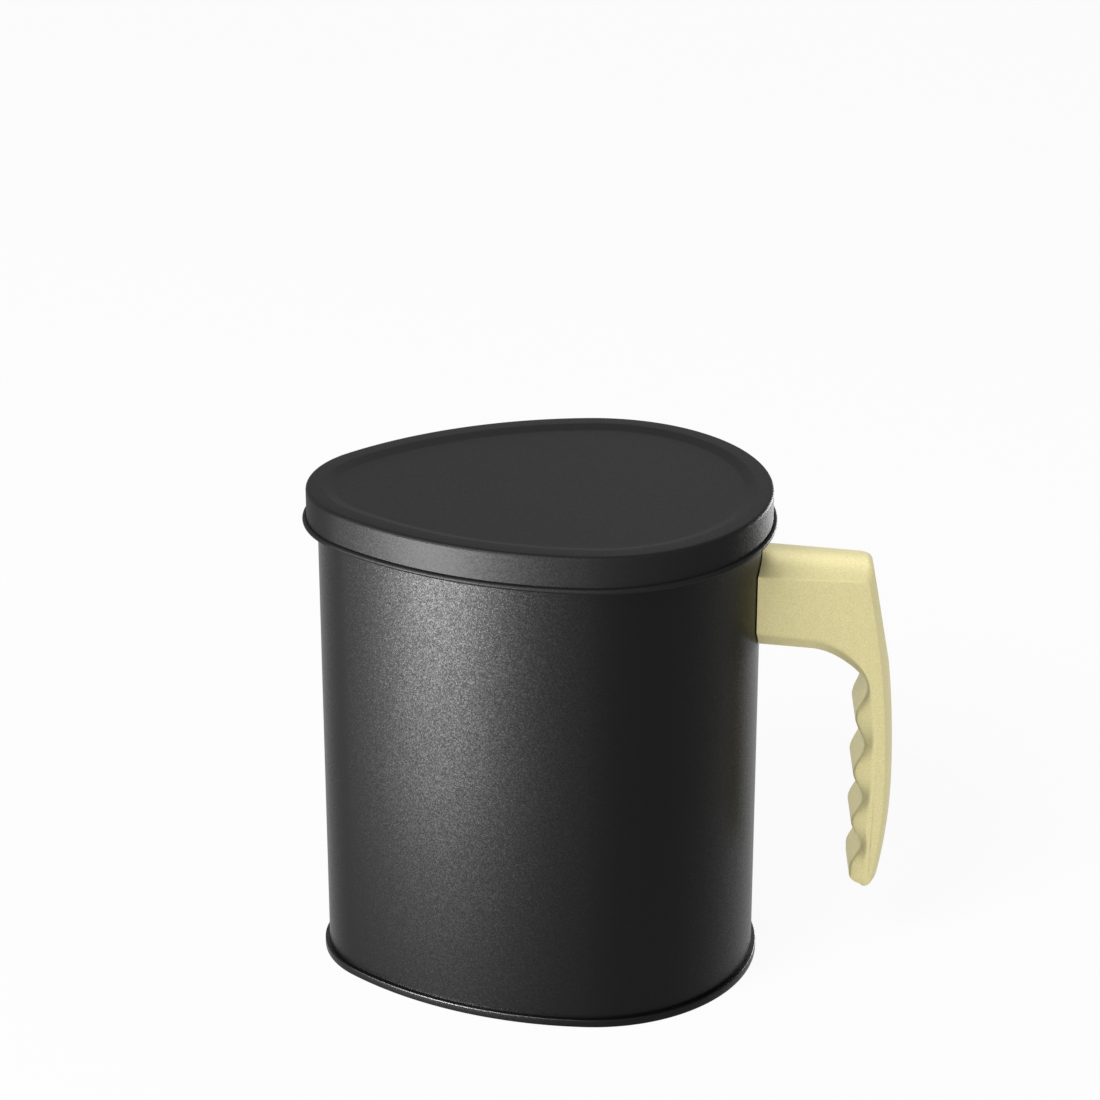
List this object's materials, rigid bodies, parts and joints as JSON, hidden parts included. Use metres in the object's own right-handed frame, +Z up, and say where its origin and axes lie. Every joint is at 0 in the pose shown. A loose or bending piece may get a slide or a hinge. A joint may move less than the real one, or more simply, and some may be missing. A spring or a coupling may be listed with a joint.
{
  "type": "bacon grease container",
  "caption": "Egg-shaped coated steel grease pot with a pouring nose, side handle, lift-out mesh strainer and lift-off lid.",
  "frame": {"origin": "middle of the footprint box, on the surface that the pot stands on", "axes": "+Z up; +X towards the handle, -X towards the pouring nose; +Y across, right-handed"},
  "size_m": [0.1826, 0.1114, 0.1598],
  "materials": {
    "coated_steel": "black non-stick coating on steel sheet, satin with a fine fleck",
    "lid_coating": "black non-stick coating on steel sheet, more matt",
    "sealing_compound": "can-seam sealing compound, dull",
    "bracket_steel": "plain steel strip and weld nut",
    "screw_steel": "bright zinc-plated steel",
    "mesh_steel": "woven stainless steel wire",
    "handle_paint": "moulded plastic with champagne-gold metallic paint, fine orange peel"
  },
  "bodies": {
    "pot": {"pot_wall": "coated_steel", "pot_bottom": "coated_steel", "seam_compound": "sealing_compound", "handle_bracket": "bracket_steel", "bracket_nut": "bracket_steel", "handle_grip": "handle_paint", "handle_screw": "screw_steel", "screw_washer": "screw_steel"},
    "strainer": {"strainer_tray": "coated_steel", "strainer_mesh": "mesh_steel", "mesh_ring": "coated_steel"},
    "lid": {"lid": "lid_coating"}
  },
  "joints": [
    {"name": "strainer_lift", "type": "slide", "parent": "pot", "child": "strainer", "axis": [0, 0, 1], "range_m": [0, 0.055]},
    {"name": "lid_lift", "type": "slide", "parent": "strainer", "child": "lid", "axis": [0, 0, 1], "range_m": [0, 0.048]}
  ]
}
